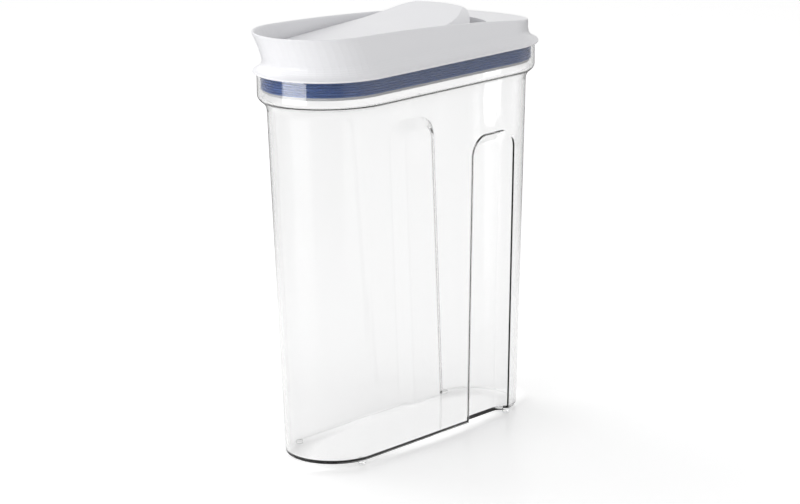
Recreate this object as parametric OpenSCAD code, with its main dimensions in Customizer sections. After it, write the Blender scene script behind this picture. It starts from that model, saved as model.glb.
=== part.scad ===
// Cereal keeper: a tall clear container with two grip grooves, and a push-on lid
// whose spout flap tips up when its raised tail is pressed down.
// The object stands on z = 0. +X runs to the back of the lid, the spout is at -X.
// Every outline is a stadium: two half circles joined by straight sides.

/* [Container] */
// Distance between the centres of the two rounded ends
span = 147; // [120:1:180]
// Radius of the rounded ends at the foot of the wall
base_r = 34.8; // [30:0.2:36]
// Outward lean of the wall in degrees
draft = 1.75; // [1.5:0.05:2.2]
// Thickness of the clear wall
wall = 2.2; // [1.8:0.1:2.6]
// Thickness of the floor
floor_t = 2.5; // [2:0.1:4]
// Radius of the edge between floor and wall
edge_r = 2; // [1:0.5:5]
// Height of the container's rim above the table
rim_z = 276.6; // [250:0.1:300]

/* [Collar] */
// Outside radius of the rounded ends at the collar
collar_r = 48.8; // [47:0.2:50]
// Height of the upright band of the collar
collar_h = 15.6; // [14:0.2:17]
// Radius of the hollow curve that leads from the wall out to the collar
flare_r = 9; // [8:0.5:14]
// Radius of the rounded shoulder under the collar
shoulder_r = 5; // [3:0.5:6]

/* [Feet] */
// Height of the four feet
foot_h = 2.6; // [1:0.1:3.5]
// Diameter of a foot
foot_d = 5.6; // [5:0.2:8]
// Distance of a foot's centre from the middle, along the body
foot_x = 78.5; // [70:0.5:82]
// Distance of a foot's centre from the middle, across the body
foot_y = 31; // [20:0.5:31.5]

/* [Grip grooves] */
// Distance of the grooves behind the middle of the body
groove_x = 55.2; // [45:0.2:60]
// Width of a groove at its mouth
groove_w = 48; // [42:1:52]
// Depth of a groove
groove_depth = 6.6; // [5.6:0.2:9]
// Height of the top of a groove
groove_top = 218; // [150:1:225]
// Radius of the two upper corners of a groove
groove_corner = 16; // [14:0.5:19]
// Radius of the roundings at the mouth and at the bed of a groove
groove_round = 3; // [2.7:0.1:3.2]
// Slope of a groove's front, back and top against the wall in degrees
groove_lean = 40; // [38:1:60]

/* [Lid cover] */
// Outside radius of the lid wall above its waist
lid_r = 44.1; // [43.6:0.1:45]
// Wall thickness of the lid mouldings
lid_t = 2.2; // [1.8:0.1:2.6]
// Width of the brim beyond the collar
brim = 2.8; // [1.8:0.2:5]
// Height of the brim's edge above the rim of the container
brim_rise = 1.6; // [1.6:0.1:4]
// Height of the waist above the rim of the container
waist_rise = 10.6; // [10:0.2:13]
// Height of the spout's lip above the rim of the container
lip_rise = 29.8; // [28:0.2:33]
// How far the top line falls from the lip to the back
top_fall = 15.2; // [12:0.2:16]
// How far the lip leans out in front of the brim
lip_lean = 11.4; // [5:0.2:13]
// Radius of the round well that lets a finger press the tail
well_r = 62.4; // [61:0.2:66]

/* [Lid frame] */
// Play between the frame and the mouldings around it
frame_gap = 0.3; // [0.2:0.05:0.5]
// Height of the tray under the flap above the rim of the container
tray_rise = 9.2; // [8.8:0.2:11]
// Length of the pour opening
pour_l = 72; // [60:1:76]
// Width of the pour opening
pour_w = 64; // [50:1:66]
// Distance from the front end centre to the middle of the pour opening
pour_x = 5; // [2:0.5:8]
// Depth of the neck below the tray
neck_h = 8; // [6:0.5:9]
// Height of the neck's rim above the tray
neck_rim = 0.6; // [0.4:0.1:0.8]
// Depth of the tail well below the rim of the container
well_depth = 9.4; // [8:0.2:10]

/* [Lid gasket] */
// Height of the gasket
gasket_h = 10.9; // [9.5:0.1:11.2]
// Number of ribs around the gasket
gasket_ribs = 6; // [3:1:7]
// Depth of a rib
rib_depth = 1.15; // [0.8:0.05:1.3]
// Play between the ribs and the collar
gasket_gap = 0.25; // [0.2:0.05:0.4]
// Thickness of the gasket between its ribs and the plug
gasket_t = 1.4; // [1.2:0.1:1.6]
// Height of the lip that keeps the gasket on the plug
gasket_lip = 2; // [1.6:0.1:2.4]

/* [Flap] */
// Play between the flap and the walls of the lid
flap_gap = 1; // [0.8:0.1:1.5]
// Thickness of the flap
flap_t = 2; // [1.6:0.1:2.4]
// Height of the flap's underside above the tray, at its front edge
flap_rise = 3; // [3:0.1:4]
// Slope of the front part of the flap in degrees
ramp_pitch = 4.2; // [3:0.1:4.6]
// Steepest slope of the hump in degrees
hump_pitch = 17.5; // [13:0.5:18]
// Place of the foot of the hump along the lid
hump_x = 0; // [-35:1:4]
// Radius of the hollow curve at the foot of the hump
hump_foot_r = 140; // [120:5:160]
// Radius of the shoulders along the sides of the hump
hump_side_r = 23; // [18:0.5:24]
// Radius of the round end of the tail
tail_r = 50; // [48:0.5:52]
// Radius of the rounded edge of the tail
tail_edge = 2; // [2:0.5:4]

/* [Hinge] */
// Place of the hinge along the lid
hinge_x = 26; // [24:0.5:28]
// Height of the hinge above the tray
hinge_rise = 7.2; // [6.8:0.1:7.6]
// Diameter of the hinge pins
pin_d = 3; // [2.5:0.1:3.5]
// Length of a hinge pin
pin_l = 8; // [7:0.5:9]
// Diameter of the knuckles around the pins
knuckle_d = 8.4; // [8:0.2:9]
// Distance from the middle to the inner face of a hinge ear
ear_y = 30; // [28:0.5:31]
// Thickness of the hinge ears and of the flap's knuckles
ear_t = 3; // [2.5:0.1:3.2]
// Radial play of the flap on its pins
pin_play = 0.08; // [0.05:0.01:0.1]

/* [Hidden] */
$fn = 96;
cut = 1;                                     // how far a cutting shape runs past what it cuts
fine = 6;                                    // degrees between the points of a drawn arc
base_z = foot_h;                             // underside of the container's floor
floor_z = base_z + floor_t;
end_x = span / 2;                            // centres of the rounded ends are at +-end_x
slope = tan(draft);
collar_z = rim_z - collar_h;                 // lower end of the upright collar band

// Radius of the outside of the container at height z, below the collar
function wall_r(z) = base_r + (z - base_z) * slope;
// Points of an arc about c, from angle a0 to a1
function arc(c, r, a0, a1) =
    let (n = max(2, ceil(abs(a1 - a0) / fine)))
    [for (i = [0:n]) let (a = a0 + (a1 - a0) * i / n) [c[0] + r * cos(a), c[1] + r * sin(a)]];

// The flare: a hollow arc that starts along the wall, and a round shoulder that ends upright.
// Its angle follows from how far out the collar stands.
flare_foot = collar_z - 16;
flare_out = collar_r - wall_r(flare_foot);
flare_a = acos(1 - flare_out / (flare_r + shoulder_r));
flare_z0 = collar_z - (flare_r + shoulder_r) * sin(flare_a);

// A ring or block whose section is the profile of [radius, height] points
module stadium_ring(profile) {
    for (side = [0, 180])
        rotate([0, 0, side]) {
            translate([end_x, 0, 0])
                rotate([0, 0, -90])
                    rotate_extrude(angle = 180)
                        polygon(profile);
            translate([-end_x, 0, 0])
                rotate([90, 0, 90])
                    linear_extrude(span)
                        polygon(profile);
        }
}

// A flat stadium plate of end radius r between two heights
module stadium_plate(r, z0, z1) {
    translate([0, 0, z0])
        linear_extrude(z1 - z0)
            stadium_2d(r);
}

module stadium_2d(r, length = span) {
    for (x = [-length / 2, length / 2])
        translate([x, 0])
            circle(r);
    square([length, 2 * r], center = true);
}

// ---------------------------------------------------------------- container

// Outside of the container when inset = 0, its inside when inset = wall
function shell_profile(inset, bottom, top) =
    let (er = max(edge_r - inset, 0.5), rb = wall_r(bottom) - inset)
    concat(
        [[0, bottom]],
        arc([rb - er, bottom + er], er, -90, -fine),
        [[wall_r(flare_z0) - inset, flare_z0]],
        arc([wall_r(flare_z0) + flare_r, flare_z0], flare_r + inset, 180 - fine, 180 - flare_a),
        arc([collar_r - shoulder_r, collar_z], shoulder_r - inset, -flare_a, 0),
        [[collar_r - inset, top], [0, top]]);

// The space of one grip groove on the +Y side, grown by g on every face.
// s runs in from the mouth's edge and d runs in from the wall's face.
groove_bed = groove_depth - 2 * groove_round * (1 - cos(groove_lean));
groove_run = 2 * groove_round * sin(groove_lean) + groove_bed / tan(groove_lean);
function groove_edge(g) =
    concat(
        [for (p = arc([0, groove_round], groove_round - g, -90, groove_lean - 90)) p],
        arc([groove_run, groove_depth - groove_round], groove_round + g, 90 + groove_lean, 90));

// Half section of the groove: x is the distance from the path's middle, y the depth
function groove_half(g, half) =
    concat(
        [[0, -groove_depth], [half, -groove_depth], [half, g]],
        [for (p = groove_edge(g)) [half - p[0], p[1]]],
        [[0, groove_depth + g]]);

module groove_space(g) {
    flat = groove_w / 2 - groove_corner;     // half length of the level top
    section = groove_half(g, groove_corner);
    translate([groove_x, wall_r(base_z), base_z])
        rotate([-draft, 0, 0])
            translate([0, 0, groove_top - groove_corner - base_z])
                mirror([0, 1, 0]) {
                    for (side = [0, 1])
                        mirror([side, 0, 0])
                            translate([flat, 0, 0]) {
                                // upright side, open at the foot
                                mirror([0, 0, 1])
                                    linear_extrude(groove_top)
                                        polygon(section);
                                // rounded upper corner
                                rotate([-90, 0, 0])
                                    rotate([0, 0, -90])
                                        rotate_extrude(angle = 90)
                                            polygon(section);
                            }
                    // level top and the middle of the bed
                    translate([-flat, 0, 0]) {
                        rotate([0, 90, 0])
                            linear_extrude(2 * flat)
                                mirror([1, 0, 0])
                                    polygon(section);
                        translate([0, -groove_depth, -groove_top])
                            cube([2 * flat, 2 * groove_depth + g, groove_top]);
                    }
                }
}

module container_body() {
    color([0.93, 0.95, 0.96, 0.35]) {
        difference() {
            union() {
                stadium_ring(shell_profile(0, base_z, rim_z));
                for (x = [-foot_x, foot_x], y = [-foot_y, foot_y])
                    translate([x, y, 0])
                        foot();
            }
            grooves(0);
            difference() {
                stadium_ring(shell_profile(wall, floor_z, rim_z + cut));
                grooves(wall);
            }
        }
    }
}

module grooves(g) {
    for (side = [0, 1])
        mirror([0, side, 0])
            groove_space(g);
}

// A low round foot with a softened edge, let into the floor
module foot() {
    soft = foot_h / 2;
    rotate_extrude()
        polygon(concat(
            [[0, 0]],
            arc([foot_d / 2 - soft, soft], soft, -90, 0),
            [[foot_d / 2, base_z + floor_t / 2], [0, base_z + floor_t / 2]]));
}

// ---------------------------------------------------------------- lid cover

lip_z = rim_z + lip_rise;
waist_z = rim_z + waist_rise;
lip_x = -(end_x + lid_r + lip_lean);         // foremost point of the lip
top_l = end_x + lid_r - lip_x;               // length of the lid's top line
top_r = top_l * top_l / (2 * top_fall);      // radius of the falling top line
brim_r = collar_r + brim;
brim_z = rim_z + brim_rise;
seat_r = collar_r - 2;                       // inner edge of the flat that rests on the rim
round_r = lid_t / 2;                         // radius of the lip's rounded edge
inner_r = lid_r - lid_t;                     // radius inside the lid wall

// Height of the lid's top line at x
function top_z(x) = lip_z - (x - lip_x) * (x - lip_x) / (2 * top_r);
// How far the front wall leans out at height z
function lean(z) = lip_lean * pow(max(0, z - brim_z) / (lip_z - brim_z), 1.6);

// Section of the lid wall from the seat, round the brim, up to the lip and down the inside
function lid_section(top) =
    let (up = top - round_r - waist_z, sweep = brim_r - lid_r, rise = waist_z - brim_z)
    concat(
        [[seat_r, rim_z], [collar_r + 0.6, rim_z]],
        arc([brim_r - 1, brim_z - 0.9], 1, -40, 40),
        [for (i = [1:7]) let (a = 90 * i / 8) [lid_r + sweep * (1 - sin(a)), brim_z + rise * (1 - cos(a))]],
        [for (i = [0:5]) [lid_r, waist_z + up * i / 5]],
        [for (a = [30:30:150]) [lid_r - round_r + round_r * cos(a), top - round_r + round_r * sin(a)]],
        [for (i = [5:-1:0]) [inner_r, waist_z + up * i / 5]],
        [[inner_r + 0.8, waist_z - 2.6], [seat_r, brim_z]]);

// Stations around the stadium: [centre x, direction angle, share of the lean]
arc_steps = 26;
side_steps = 12;
stations = concat(
    [for (i = [0:arc_steps]) [end_x, -90 + 180 * i / arc_steps, 0]],
    [for (i = [1:side_steps - 1]) [end_x - span * i / side_steps, 90, i / side_steps]],
    [for (i = [0:arc_steps]) [-end_x, 90 + 180 * i / arc_steps, 1]],
    [for (i = [1:side_steps - 1]) [-end_x + span * i / side_steps, -90, 1 - i / side_steps]]);

module lid_wall() {
    n = len(stations);
    rings = [for (s = stations)
        let (x = s[0] + (lid_r - round_r) * cos(s[1]) - lip_lean * s[2])
        [for (p = lid_section(top_z(x)))
            [s[0] + p[0] * cos(s[1]) - lean(p[1]) * s[2], p[0] * sin(s[1]), p[1]]]];
    m = len(rings[0]);
    polyhedron(
        points = [for (ring = rings, p = ring) p],
        faces = [for (i = [0:n - 1], j = [0:m - 1], half = [0, 1])
            let (a = i * m + j, b = i * m + (j + 1) % m,
                 c = ((i + 1) % n) * m + (j + 1) % m, d = ((i + 1) % n) * m + j)
            half == 0 ? [a, b, c] : [a, c, d]]);
}

// Everything below the falling top line, lowered by drop
module under_top_line(drop) {
    translate([lip_x, 0, lip_z - top_r])
        rotate([90, 0, 0])
            cylinder(r = top_r - drop, h = 3 * collar_r, center = true, $fn = 720);
}

module well_round(r, z0, z1) {
    translate([well_x, 0, z0])
        cylinder(r = r, h = z1 - z0, $fn = 180);
}
well_x = 0;                                  // centre of the round well

module lid_cover() {
    color([0.93, 0.93, 0.95]) {
        lid_wall();
        // deck behind the well, and the well's wall that hangs from it
        difference() {
            intersection() {
                stadium_plate(lid_r - round_r, tray_z, lip_z);
                under_top_line(0.05);
                translate([0, -collar_r, 0])
                    cube([2 * collar_r + end_x, 2 * collar_r, lip_z]);
            }
            difference() {
                under_top_line(lid_t);
                well_round(well_r + lid_t, 0, lip_z);
            }
            well_round(well_r, 0, lip_z);
        }
    }
}

// ---------------------------------------------------------------- lid frame

tray_z = rim_z + tray_rise;                  // upper face of the tray
tray_r = inner_r - frame_gap;                // the tray fits inside the lid wall
plug_r = collar_r - wall - gasket_gap - rib_depth - gasket_t;   // seat of the gasket
gasket_z = rim_z - gasket_h - 0.1;           // lower edge of the gasket
plug_z = gasket_z - gasket_lip;              // lower edge of the plug
pour_cx = -end_x + pour_x;                   // middle of the pour opening
well_z = rim_z - well_depth;                 // bed of the tail well
well_x0 = 6;                                 // front wall of the tail well
well_side = 1.6;                             // thickness of the tray's edge beside the well
well_end_r = min(tray_r, plug_r);            // the well stays inside the tray and the gasket's seat
ear_run = 15;                                // length of an ear's foot on the tray
flange_t = 1.6;                              // thickness of the flange above the gasket
soft_edge = 0.5;                             // bevel on the plug's lower edge
hinge_z = tray_z + hinge_rise;

module pour_2d(grow) {
    translate([pour_cx, 0])
        stadium_2d(pour_w / 2 + grow, pour_l - pour_w);
}

// Outline of the tail well: the round behind the tail, kept inside a stadium of end radius r
module well_2d(r, grow) {
    intersection() {
        stadium_2d(r);
        translate([well_x, 0])
            circle(well_r - 1.2 + grow, $fn = 180);
        translate([well_x0 - grow, -collar_r])
            square([2 * collar_r, 2 * collar_r]);
    }
}

module lid_frame() {
    lip_r = plug_r + gasket_t;               // the gasket's skin is flush with both lips
    flange_r = seat_r - frame_gap - 0.1;
    color([0.93, 0.93, 0.94])
        difference() {
            union() {
                difference() {
                    union() {
                        // plug with its two lips, and the riser up to the tray
                        stadium_ring([
                            [plug_r - lid_t, plug_z], [lip_r - soft_edge, plug_z],
                            [lip_r, plug_z + soft_edge], [lip_r, gasket_z],
                            [plug_r, gasket_z], [plug_r, rim_z],
                            [flange_r, rim_z], [flange_r, rim_z + flange_t],
                            [tray_r, rim_z + flange_t + 1], [tray_r, tray_z],
                            [tray_r - lid_t - 1, tray_z], [plug_r - lid_t, rim_z + flange_t]]);
                        stadium_plate(tray_r - 1, tray_z - lid_t, tray_z);
                    }
                    translate([0, 0, plug_z])
                        linear_extrude(tray_z)
                            pour_2d(0);
                    translate([0, 0, rim_z])
                        linear_extrude(tray_z)
                            well_2d(well_end_r - well_side, 0);
                }
                // neck of the pour opening
                translate([0, 0, tray_z - neck_h])
                    linear_extrude(neck_h + neck_rim)
                        difference() {
                            pour_2d(lid_t);
                            pour_2d(0);
                        }
                // tail well
                difference() {
                    translate([0, 0, well_z - lid_t])
                        linear_extrude(tray_z - well_z + lid_t)
                            well_2d(well_end_r, lid_t);
                    translate([0, 0, well_z])
                        linear_extrude(tray_z)
                            well_2d(well_end_r - well_side, 0);
                }
                for (side = [-1, 1])
                    translate([0, side * (ear_y + ear_t / 2), 0])
                        hinge_ear();
            }
            hinge_bore(pin_d / 2 + 0.02);
        }
}

// Arm that reaches back from the tray and over the well, so that the tail can swing down behind it
module hinge_ear() {
    root_z = tray_z - lid_t / 2;
    arm_r = knuckle_d / 2;
    pitch = atan2(hinge_z - arm_r - root_z, hinge_x - well_x0);
    translate([0, ear_t / 2, 0])
        rotate([90, 0, 0])
            linear_extrude(ear_t) {
                translate([hinge_x, hinge_z])
                    circle(arm_r);
                polygon([[well_x0 - ear_run, root_z], [well_x0 - 1, root_z],
                         [hinge_x + arm_r * sin(pitch), hinge_z - arm_r * cos(pitch)],
                         [hinge_x - arm_r * sin(pitch), hinge_z + arm_r * cos(pitch)]]);
            }
}

module hinge_bore(r) {
    translate([hinge_x, 0, hinge_z])
        rotate([90, 0, 0])
            cylinder(r = r, h = 2 * collar_r, center = true);
}

// ---------------------------------------------------------------- lid gasket

module lid_gasket() {
    pitch = gasket_h / gasket_ribs;
    skin_r = plug_r + gasket_t;
    color([0.33, 0.40, 0.56])
        stadium_ring(concat(
            [[plug_r, gasket_z], [skin_r, gasket_z]],
            [for (i = [0:gasket_ribs - 1], a = [0:30:180])
                [skin_r + rib_depth * sin(a), gasket_z + pitch * (i + 0.5 - 0.32 * cos(a))]],
            [[skin_r, gasket_z + gasket_h], [plug_r, gasket_z + gasket_h]]));
}

// ---------------------------------------------------------------- flap

flap_r = inner_r - flap_gap;                 // radius of the flap's round front
flap_z = tray_z + flap_rise + flap_t;        // top of the flap at its front edge
skirt_z = tray_z + 1.6;                      // lower edge of the flap's skirt
front_cx = -end_x - lean(skirt_z);           // the flap's front follows the leaning wall
front_x = front_cx - flap_r;
foot_z = flap_z + (hump_x - front_x) * tan(ramp_pitch);
hump_run = hump_foot_r * (sin(hump_pitch) - sin(ramp_pitch));
crest_x = hump_x + hump_run;                 // where the hollow curve turns into the round top
crest_z = foot_z + hump_foot_r * (cos(ramp_pitch) - cos(hump_pitch));
hump_top_r = (tail_r - 2 - crest_x) / sin(hump_pitch);
peak_z = crest_z + hump_top_r * (1 - cos(hump_pitch));

// Everything under the flap's top line: a ramp, a hollow curve and a round top, lowered by drop
module under_flap_line(drop) {
    wide = 2 * collar_r;
    low = rim_z;
    // ramp
    translate([0, collar_r, 0])
        rotate([90, 0, 0])
            linear_extrude(wide)
                polygon([[front_x - 2, low], [hump_x, low], [hump_x, foot_z - drop / cos(ramp_pitch)],
                         [front_x - 2, flap_z - 2 * tan(ramp_pitch) - drop / cos(ramp_pitch)]]);
    // hollow curve
    difference() {
        translate([hump_x, -collar_r, low])
            cube([crest_x - hump_x, wide, crest_z + 5 - low]);
        translate([hump_x - hump_foot_r * sin(ramp_pitch), 0, foot_z + hump_foot_r * cos(ramp_pitch)])
            rotate([90, 0, 0])
                cylinder(r = hump_foot_r + drop, h = wide + 2, center = true, $fn = 360);
    }
    // round top
    intersection() {
        translate([crest_x, -collar_r, low])
            cube([tail_r + 2 - crest_x, wide, peak_z + 1 - low]);
        translate([crest_x + hump_top_r * sin(hump_pitch), 0, crest_z - hump_top_r * cos(hump_pitch)])
            rotate([90, 0, 0])
                cylinder(r = hump_top_r - drop, h = wide + 2, center = true, $fn = 360);
    }
}

// Block whose top has round shoulders along both sides, inset by g
module shoulder_block(g) {
    half = flap_r - g;
    sr = hump_side_r - g;
    cy = flap_r - hump_side_r * 0.98;
    cz = peak_z + 0.2 - hump_side_r;
    reach = acos((half - cy) / sr);
    translate([front_x - 5, 0, 0])
        rotate([90, 0, 90])
            linear_extrude(tail_r - front_x + 10)
                polygon(concat(
                    [[half, rim_z]],
                    arc([cy, cz], sr, reach, 90),
                    arc([-cy, cz], sr, 90, 180 - reach),
                    [[-half, rim_z]]));
}

// Plan of the flap: a round front, straight sides and a tail on a wider circle
module flap_plan(g) {
    translate([front_cx, 0, rim_z])
        cylinder(r = flap_r - g, h = lip_rise + 10);
    translate([front_cx, -flap_r + g, rim_z])
        cube([-front_cx, 2 * (flap_r - g), lip_rise + 10]);
    intersection() {
        translate([0, -flap_r + g, rim_z])
            cube([tail_r, 2 * (flap_r - g), lip_rise + 10]);
        rotate_extrude($fn = 180)
            polygon(concat(
                [[0, rim_z - cut], [tail_r - g, rim_z - cut]],
                arc([tail_r - tail_edge, peak_z - tail_edge], max(tail_edge - g, 0.2), 0, 90),
                [[0, peak_z - g]]));
    }
}

module flap_block(g) {
    intersection() {
        under_flap_line(g);
        shoulder_block(g);
        flap_plan(g);
    }
}

knuckle_y = ear_y + ear_t + 0.4;             // inner face of the flap's knuckles

module flap_cover() {
    color([0.94, 0.94, 0.95])
        difference() {
            union() {
                difference() {
                    flap_block(0);
                    flap_block(flap_t);
                    // the skirt stops above the tray
                    translate([front_x - 10, -collar_r, rim_z - 5])
                        cube([tail_r - front_x + 20, 2 * collar_r, skirt_z - rim_z + 5]);
                }
                // knuckles, hung from the underside of the hump
                intersection() {
                    flap_block(flap_t / 2);
                    for (side = [0, 1])
                        mirror([0, side, 0])
                            flap_knuckle();
                }
            }
            hinge_bore(pin_d / 2 + pin_play);
        }
}

module flap_knuckle() {
    translate([hinge_x, knuckle_y + ear_t, 0])
        rotate([90, 0, 0])
            linear_extrude(ear_t) {
                translate([0, hinge_z])
                    circle(d = knuckle_d);
                translate([-knuckle_d / 2, hinge_z])
                    square([knuckle_d, peak_z - hinge_z]);
            }
}

// ---------------------------------------------------------------- flap liner and its gasket

seal_t = 1.2;                                // thickness of the flap's gasket
plate_t = 1.2;                               // thickness of the liner's plate
seal_z = tray_z + neck_rim + frame_gap;      // the gasket ends just above the neck's rim
liner_z = seal_z + seal_t;                   // underside of the liner's plate
plug_in = 2.2;                               // the flap's plug stays this far inside the neck
plug_t = 1.8;                                // wall thickness of that plug
plug_dip = 2.5;                              // how far the plug reaches into the neck
post_d = 7;                                  // posts between the liner's plate and the flap
post_x = pour_l / 4;
post_y = pour_w / 4;

module flap_liner() {
    color([0.90, 0.90, 0.92]) {
        translate([0, 0, liner_z])
            linear_extrude(plate_t)
                pour_2d(lid_t - 1);
        translate([0, 0, tray_z - plug_dip])
            linear_extrude(liner_z - tray_z + plug_dip)
                difference() {
                    pour_2d(-plug_in);
                    pour_2d(-plug_in - plug_t);
                }
        // posts up to the underside of the flap
        for (x = [-post_x, post_x], y = [-post_y, post_y])
            intersection() {
                translate([pour_cx + x, y, liner_z])
                    cylinder(d = post_d, h = lip_rise);
                flap_block(flap_t);
            }
    }
}

module flap_gasket() {
    color([0.40, 0.46, 0.60])
        translate([0, 0, seal_z])
            linear_extrude(seal_t)
                difference() {
                    pour_2d(lid_t - 1);
                    pour_2d(-plug_in);
                }
}

// ---------------------------------------------------------------- hinge pins

module hinge_pin(side) {
    color([0.75, 0.76, 0.78])
        translate([hinge_x, side * (ear_y + pin_l / 2 - 0.3), hinge_z])
            rotate([90, 0, 0])
                cylinder(d = pin_d, h = pin_l, center = true);
}
module hinge_pin_near() { hinge_pin(-1); }
module hinge_pin_far() { hinge_pin(1); }

container_body();
lid_cover();
lid_frame();
lid_gasket();
flap_cover();
flap_liner();
flap_gasket();
hinge_pin_near();
hinge_pin_far();
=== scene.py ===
"""A clear cereal keeper with a white flip-spout lid, standing in a plain white studio.

Every piece of the object is a CAD solid of the frame, which gets its material here.
The script adds only the floor, the world, the lamps and the camera.
"""

import math

import bpy
from mathutils import Matrix, Vector

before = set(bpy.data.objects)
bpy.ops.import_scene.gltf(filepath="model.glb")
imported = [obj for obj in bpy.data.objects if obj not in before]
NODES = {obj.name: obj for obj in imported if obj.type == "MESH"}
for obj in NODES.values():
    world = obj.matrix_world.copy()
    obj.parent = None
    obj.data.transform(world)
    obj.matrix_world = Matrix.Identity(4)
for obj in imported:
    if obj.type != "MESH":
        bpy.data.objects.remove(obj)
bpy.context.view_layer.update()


# ---------------------------------------------------------------- camera

CAMERA_PLACE = Vector((-1.4049, -1.2780, 0.6158))
CAMERA_HEADING = math.radians(42.33)       # from +X towards +Y
CAMERA_PITCH = math.radians(-14.26)
CAMERA_ROLL = math.radians(-0.73)
CAMERA_LENS = 122.6                        # millimetres, on the sensor below
SENSOR_WIDTH = 36.0
CLIP_NEAR, CLIP_FAR = 0.05, 100.0


def make_camera():
    data = bpy.data.cameras.new("camera")
    data.lens = CAMERA_LENS
    data.sensor_width = SENSOR_WIDTH
    data.clip_start = CLIP_NEAR
    data.clip_end = CLIP_FAR
    camera = bpy.data.objects.new("camera", data)
    bpy.context.scene.collection.objects.link(camera)
    quarter = math.pi / 2
    turn = (Matrix.Rotation(CAMERA_HEADING - quarter, 4, "Z")
            @ Matrix.Rotation(quarter + CAMERA_PITCH, 4, "X")
            @ Matrix.Rotation(CAMERA_ROLL, 4, "Z"))
    camera.matrix_world = Matrix.Translation(CAMERA_PLACE) @ turn
    bpy.context.scene.camera = camera


# ---------------------------------------------------------------- node helpers

def new_material(name):
    material = bpy.data.materials.new(name)
    material.use_nodes = True
    nodes = material.node_tree.nodes
    return material, nodes, material.node_tree.links, nodes["Principled BSDF"]


def grey(level):
    return (level, level, level, 1.0)


def math_node(nodes, links, operation, *values):
    """A Math node over numbers and sockets."""
    node = nodes.new("ShaderNodeMath")
    node.operation = operation
    for socket, value in zip(node.inputs, values):
        if isinstance(value, (int, float)):
            socket.default_value = value
        else:
            links.new(value, socket)
    return node.outputs[0]


def vector_node(nodes, links, operation, source, result, constant=None):
    """A Vector Math node over a socket and, where it needs one, a constant vector."""
    node = nodes.new("ShaderNodeVectorMath")
    node.operation = operation
    links.new(source, node.inputs[0])
    if constant is not None:
        node.inputs[1].default_value = constant
    return node.outputs[result]


def map_range(nodes, links, source, span, low=0.0, high=1.0):
    """Takes the span of a source to low..high, held at both ends."""
    node = nodes.new("ShaderNodeMapRange")
    node.inputs["From Min"].default_value = span[0]
    node.inputs["From Max"].default_value = span[1]
    node.inputs["To Min"].default_value = low
    node.inputs["To Max"].default_value = high
    links.new(source, node.inputs["Value"])
    return node.outputs["Result"]


def add_noise(nodes, links, scale, detail=2.0):
    """A noise texture in the object's own metres."""
    place = nodes.new("ShaderNodeTexCoord")
    noise = nodes.new("ShaderNodeTexNoise")
    noise.inputs["Scale"].default_value = scale
    noise.inputs["Detail"].default_value = detail
    links.new(place.outputs["Object"], noise.inputs["Vector"])
    return noise.outputs["Fac"]


def add_bump(nodes, links, shader, source, height):
    """Relief of a height in metres."""
    bump = nodes.new("ShaderNodeBump")
    bump.inputs["Strength"].default_value = 1.0
    bump.inputs["Distance"].default_value = height
    links.new(source, bump.inputs["Height"])
    links.new(bump.outputs["Normal"], shader.inputs["Normal"])


TEXTURE_SPAN = (0.3, 0.7)                  # where most of a texture's values lie


def vary_roughness(nodes, links, source, shader, low, high):
    """Spreads a texture over a range of roughness."""
    links.new(map_range(nodes, links, source, TEXTURE_SPAN, low, high), shader.inputs["Roughness"])


# ---------------------------------------------------------------- materials

CLEAR_LEVEL = 0.945                        # what one surface of the clear wall lets through
CLEAR_IOR = 1.4                            # a little low, which keeps the edge lines faint
CLEAR_DENSITY = 10.0                       # neutral absorption, per metre
CLEAR_HAZE = (0.0, 0.012)

WHITE = (0.84, 0.84, 0.86)
INNER_WHITE = (0.80, 0.80, 0.82)
MOULDING_IOR = 1.48
ROUGHNESS_SPREAD = 0.04
FINE_GRAIN = 0.000006
COARSE_GRAIN = 0.00001

SILICONE_TONES = ((0.35, (0.100, 0.192, 0.490, 1.0)), (0.65, (0.116, 0.218, 0.540, 1.0)))
SILICONE_ROUGHNESS = 0.45
SILICONE_IOR = 1.41

STEEL = (0.56, 0.56, 0.57, 1.0)
STEEL_ROUGHNESS = (0.22, 0.34)


def clear_plastic():
    """Polished clear moulding: slight waviness of the wall and a trace of haze."""
    material, nodes, links, shader = new_material("clear_plastic")
    shader.inputs["Base Color"].default_value = grey(CLEAR_LEVEL)
    shader.inputs["Transmission Weight"].default_value = 1.0
    shader.inputs["IOR"].default_value = CLEAR_IOR
    tint = nodes.new("ShaderNodeVolumeAbsorption")
    tint.inputs["Color"].default_value = grey(0.0)
    tint.inputs["Density"].default_value = CLEAR_DENSITY
    links.new(tint.outputs["Volume"], nodes["Material Output"].inputs["Volume"])
    haze = add_noise(nodes, links, 60.0)
    vary_roughness(nodes, links, haze, shader, *CLEAR_HAZE)
    wave = add_noise(nodes, links, 18.0, 0.0)
    add_bump(nodes, links, shader, wave, 0.00001)
    return material


def moulded_plastic(name, colour, roughness, grain):
    """Opaque satin moulding with a fine spark-eroded grain."""
    material, nodes, links, shader = new_material(name)
    shader.inputs["Base Color"].default_value = (*colour, 1.0)
    shader.inputs["IOR"].default_value = MOULDING_IOR
    tone = add_noise(nodes, links, 40.0)
    vary_roughness(nodes, links, tone, shader,
                   roughness - ROUGHNESS_SPREAD, roughness + ROUGHNESS_SPREAD)
    speckle = add_noise(nodes, links, 2500.0, 1.0)
    add_bump(nodes, links, shader, speckle, grain)
    return material


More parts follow.
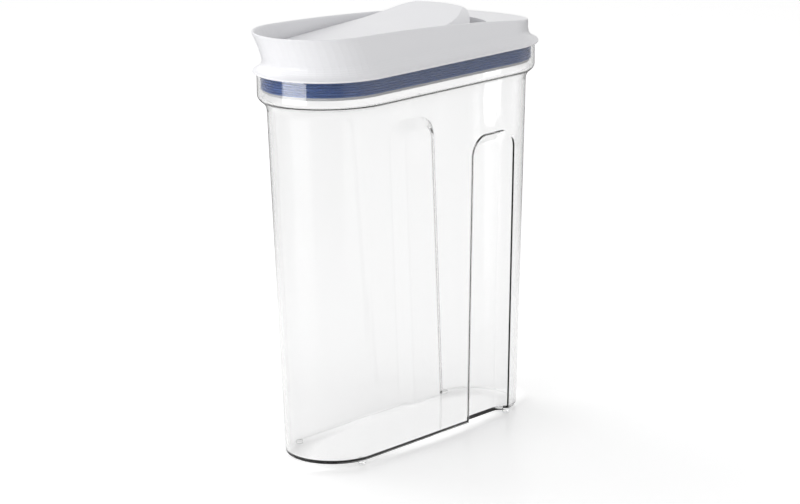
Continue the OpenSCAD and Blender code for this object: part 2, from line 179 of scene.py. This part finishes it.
def silicone():
    """Blue silicone with a dusty, slightly uneven skin."""
    material, nodes, links, shader = new_material("gasket_silicone")
    tone = add_noise(nodes, links, 90.0, 3.0)
    ramp = nodes.new("ShaderNodeValToRGB")
    for element, (position, colour) in zip(ramp.color_ramp.elements, SILICONE_TONES):
        element.position = position
        element.color = colour
    links.new(tone, ramp.inputs["Fac"])
    links.new(ramp.outputs["Color"], shader.inputs["Base Color"])
    shader.inputs["Roughness"].default_value = SILICONE_ROUGHNESS
    shader.inputs["IOR"].default_value = SILICONE_IOR
    skin = add_noise(nodes, links, 1800.0, 1.0)
    add_bump(nodes, links, shader, skin, 0.00001)
    return material


def ground_steel():
    """Pin stock: fine rings from centreless grinding."""
    material, nodes, links, shader = new_material("pin_steel")
    shader.inputs["Base Color"].default_value = STEEL
    shader.inputs["Metallic"].default_value = 1.0
    place = nodes.new("ShaderNodeTexCoord")
    rings = nodes.new("ShaderNodeTexWave")
    rings.bands_direction = "Y"
    rings.inputs["Scale"].default_value = 4000.0
    rings.inputs["Distortion"].default_value = 1.0
    links.new(place.outputs["Object"], rings.inputs["Vector"])
    vary_roughness(nodes, links, rings.outputs["Fac"], shader, *STEEL_ROUGHNESS)
    add_bump(nodes, links, shader, rings.outputs["Fac"], 0.000005)
    return material


def dress():
    """Gives every CAD node its finished material."""
    white = moulded_plastic("white_plastic", WHITE, 0.32, FINE_GRAIN)
    flap = moulded_plastic("flap_plastic", WHITE, 0.34, FINE_GRAIN)
    inner = moulded_plastic("frame_plastic", INNER_WHITE, 0.45, COARSE_GRAIN)
    rubber = silicone()
    steel = ground_steel()
    finish = {
        "container_body": clear_plastic(),
        "lid_cover": white,
        "lid_frame": inner,
        "lid_gasket": rubber,
        "flap_cover": flap,
        "flap_liner": inner,
        "flap_gasket": rubber,
        "hinge_pin_near": steel,
        "hinge_pin_far": steel,
    }
    for name, material in finish.items():
        for slot in NODES[name].material_slots:
            slot.material = material


# ---------------------------------------------------------------- studio

FLOOR_HALF = 12.0
FLOOR_LEVEL = 0.86
FLOOR_ROUGHNESS = 0.3
FLOOR_LIFT = 0.31                          # glow that brings the bare floor up to white

# a painted pool of light under the body: a brighter oval where clear plastic would gather light
PAINTED_POOL_LIFT = 0.52
PAINTED_POOL_RADII = (0.106, 0.033)
PAINTED_POOL_FADE = (1.25, 0.85)                  # in radii: from bare floor to full patch

# painted dark reflection: the far floor mirrors dark, as in a dark room, except in one sector at the
# front right
PAINTED_REFLECTION_LEVEL = 0.15
PAINTED_REFLECTION_FADE = (0.35, 0.75)                   # metres from the middle
BRIGHT_AZIMUTH = math.radians(-68)
SECTOR_FADE = (0.74, 0.62)                 # cosine of the angle from that azimuth

DOME_STRENGTH = 0.56


def seen_directly(nodes, links):
    """1 for what the camera sees, also through clear plastic and in gloss, else 0.

    What lights the object is 0, so the glow of the floor and world adds no light to it.
    """
    path = nodes.new("ShaderNodeLightPath").outputs
    looks = math_node(nodes, links, "MAXIMUM", path["Is Camera Ray"], path["Is Glossy Ray"])
    looks = math_node(nodes, links, "MAXIMUM", looks, path["Is Transmission Ray"])
    sharp = math_node(nodes, links, "LESS_THAN", path["Diffuse Depth"], 0.5)
    return math_node(nodes, links, "MULTIPLY", looks, sharp)


def floor_glow(nodes, links, position):
    """Emission strength of the floor: its lift, higher in the oval patch, which is a painted pool of
    light under the body.
    """
    to_radii = (1.0 / PAINTED_POOL_RADII[0], 1.0 / PAINTED_POOL_RADII[1], 0.0)
    in_radii = vector_node(nodes, links, "MULTIPLY", position, "Vector", to_radii)
    reach = vector_node(nodes, links, "LENGTH", in_radii, "Value")
    # painted pool of light: the glow rises from the floor's lift to the full patch inside the oval
    lift = map_range(nodes, links, reach, PAINTED_POOL_FADE, FLOOR_LIFT, FLOOR_LIFT + PAINTED_POOL_LIFT)
    return math_node(nodes, links, "MULTIPLY", seen_directly(nodes, links), lift)


def painted_dark_reflection(nodes, links, position):
    """Painted dark reflection: how far the floor turns dark, which it does in mirror reflections
    alone.
    """
    reach = vector_node(nodes, links, "LENGTH", position, "Value")
    far = map_range(nodes, links, reach, PAINTED_REFLECTION_FADE)
    bright_way = (math.cos(BRIGHT_AZIMUTH), math.sin(BRIGHT_AZIMUTH), 0.0)
    unit = vector_node(nodes, links, "NORMALIZE", position, "Vector")
    along = vector_node(nodes, links, "DOT_PRODUCT", unit, "Value", bright_way)
    side = map_range(nodes, links, along, SECTOR_FADE)
    dark = math_node(nodes, links, "MULTIPLY", far, side)
    # a ray through clear plastic counts as glossy too, so it is taken off again
    path = nodes.new("ShaderNodeLightPath").outputs
    mirrored = math_node(nodes, links, "SUBTRACT", path["Is Glossy Ray"], path["Is Transmission Ray"])
    mirrored = math_node(nodes, links, "MAXIMUM", mirrored, 0.0)
    return math_node(nodes, links, "MULTIPLY", dark, mirrored)


def floor_material():
    material, nodes, links, shader = new_material("floor")
    shader.inputs["Base Color"].default_value = grey(FLOOR_LEVEL)
    shader.inputs["Roughness"].default_value = FLOOR_ROUGHNESS
    shader.inputs["Emission Color"].default_value = grey(1.0)
    position = nodes.new("ShaderNodeNewGeometry").outputs["Position"]
    links.new(floor_glow(nodes, links, position), shader.inputs["Emission Strength"])
    # painted dark reflection: the dark grey the floor takes on in mirror reflections
    dark = nodes.new("ShaderNodeBsdfDiffuse")
    dark.inputs["Color"].default_value = grey(PAINTED_REFLECTION_LEVEL)
    mix = nodes.new("ShaderNodeMixShader")
    links.new(painted_dark_reflection(nodes, links, position), mix.inputs["Fac"])
    links.new(shader.outputs["BSDF"], mix.inputs[1])
    links.new(dark.outputs["BSDF"], mix.inputs[2])
    links.new(mix.outputs["Shader"], nodes["Material Output"].inputs["Surface"])
    return material


def make_floor():
    corners = [(x * FLOOR_HALF, y * FLOOR_HALF, 0.0)
               for x, y in ((-1, -1), (1, -1), (1, 1), (-1, 1))]
    mesh = bpy.data.meshes.new("floor")
    mesh.from_pydata(corners, [], [(0, 1, 2, 3)])
    mesh.materials.append(floor_material())
    floor = bpy.data.objects.new("floor", mesh)
    bpy.context.scene.collection.objects.link(floor)


def make_world():
    """Soft grey dome for the light, plain white where it is looked at."""
    world = bpy.data.worlds.new("studio")
    world.use_nodes = True
    nodes, links = world.node_tree.nodes, world.node_tree.links
    dome = nodes["Background"]
    white = nodes.new("ShaderNodeBackground")
    for background, strength in ((dome, DOME_STRENGTH), (white, 1.0)):
        background.inputs["Color"].default_value = grey(1.0)
        background.inputs["Strength"].default_value = strength
    mix = nodes.new("ShaderNodeMixShader")
    links.new(seen_directly(nodes, links), mix.inputs["Fac"])
    links.new(dome.outputs["Background"], mix.inputs[1])
    links.new(white.outputs["Background"], mix.inputs[2])
    links.new(mix.outputs["Shader"], nodes["World Output"].inputs["Surface"])
    bpy.context.scene.world = world


LID_MIDDLE = (0.0, 0.0, 0.27)

LAMPS = (
    # name, place, target, size in metres, watts, mirrored
    ("strip", (-1.125, 0.24, 0.12), (0.0, 0.0, 0.12), (0.86, 0.2), 3.7, True),
    ("left", (-1.3, 0.0, 1.15), LID_MIDDLE, (1.0, 1.0), 5.8, True),
    ("back", (-0.1, 1.3, 1.3), LID_MIDDLE, (1.2, 1.2), 8.6, True),
    ("front", (0.5, -1.6, 0.5), LID_MIDDLE, (1.4, 0.9), 4.2, False),
)


def add_lamp(name, place, target, size, power, mirrored):
    """An area lamp; one that isn't mirrored lights the object and leaves no highlight."""
    data = bpy.data.lights.new(name, "AREA")
    data.shape = "RECTANGLE"
    data.size, data.size_y = size
    data.energy = power
    lamp = bpy.data.objects.new(name, data)
    lamp.location = place
    aim = Vector(target) - Vector(place)
    lamp.rotation_euler = aim.to_track_quat("-Z", "Y").to_euler()
    lamp.visible_camera = False
    lamp.visible_glossy = mirrored
    lamp.visible_transmission = mirrored
    bpy.context.scene.collection.objects.link(lamp)


make_camera()
dress()
make_floor()
make_world()
for lamp_row in LAMPS:
    add_lamp(*lamp_row)
bpy.context.scene.view_settings.view_transform = "Standard"
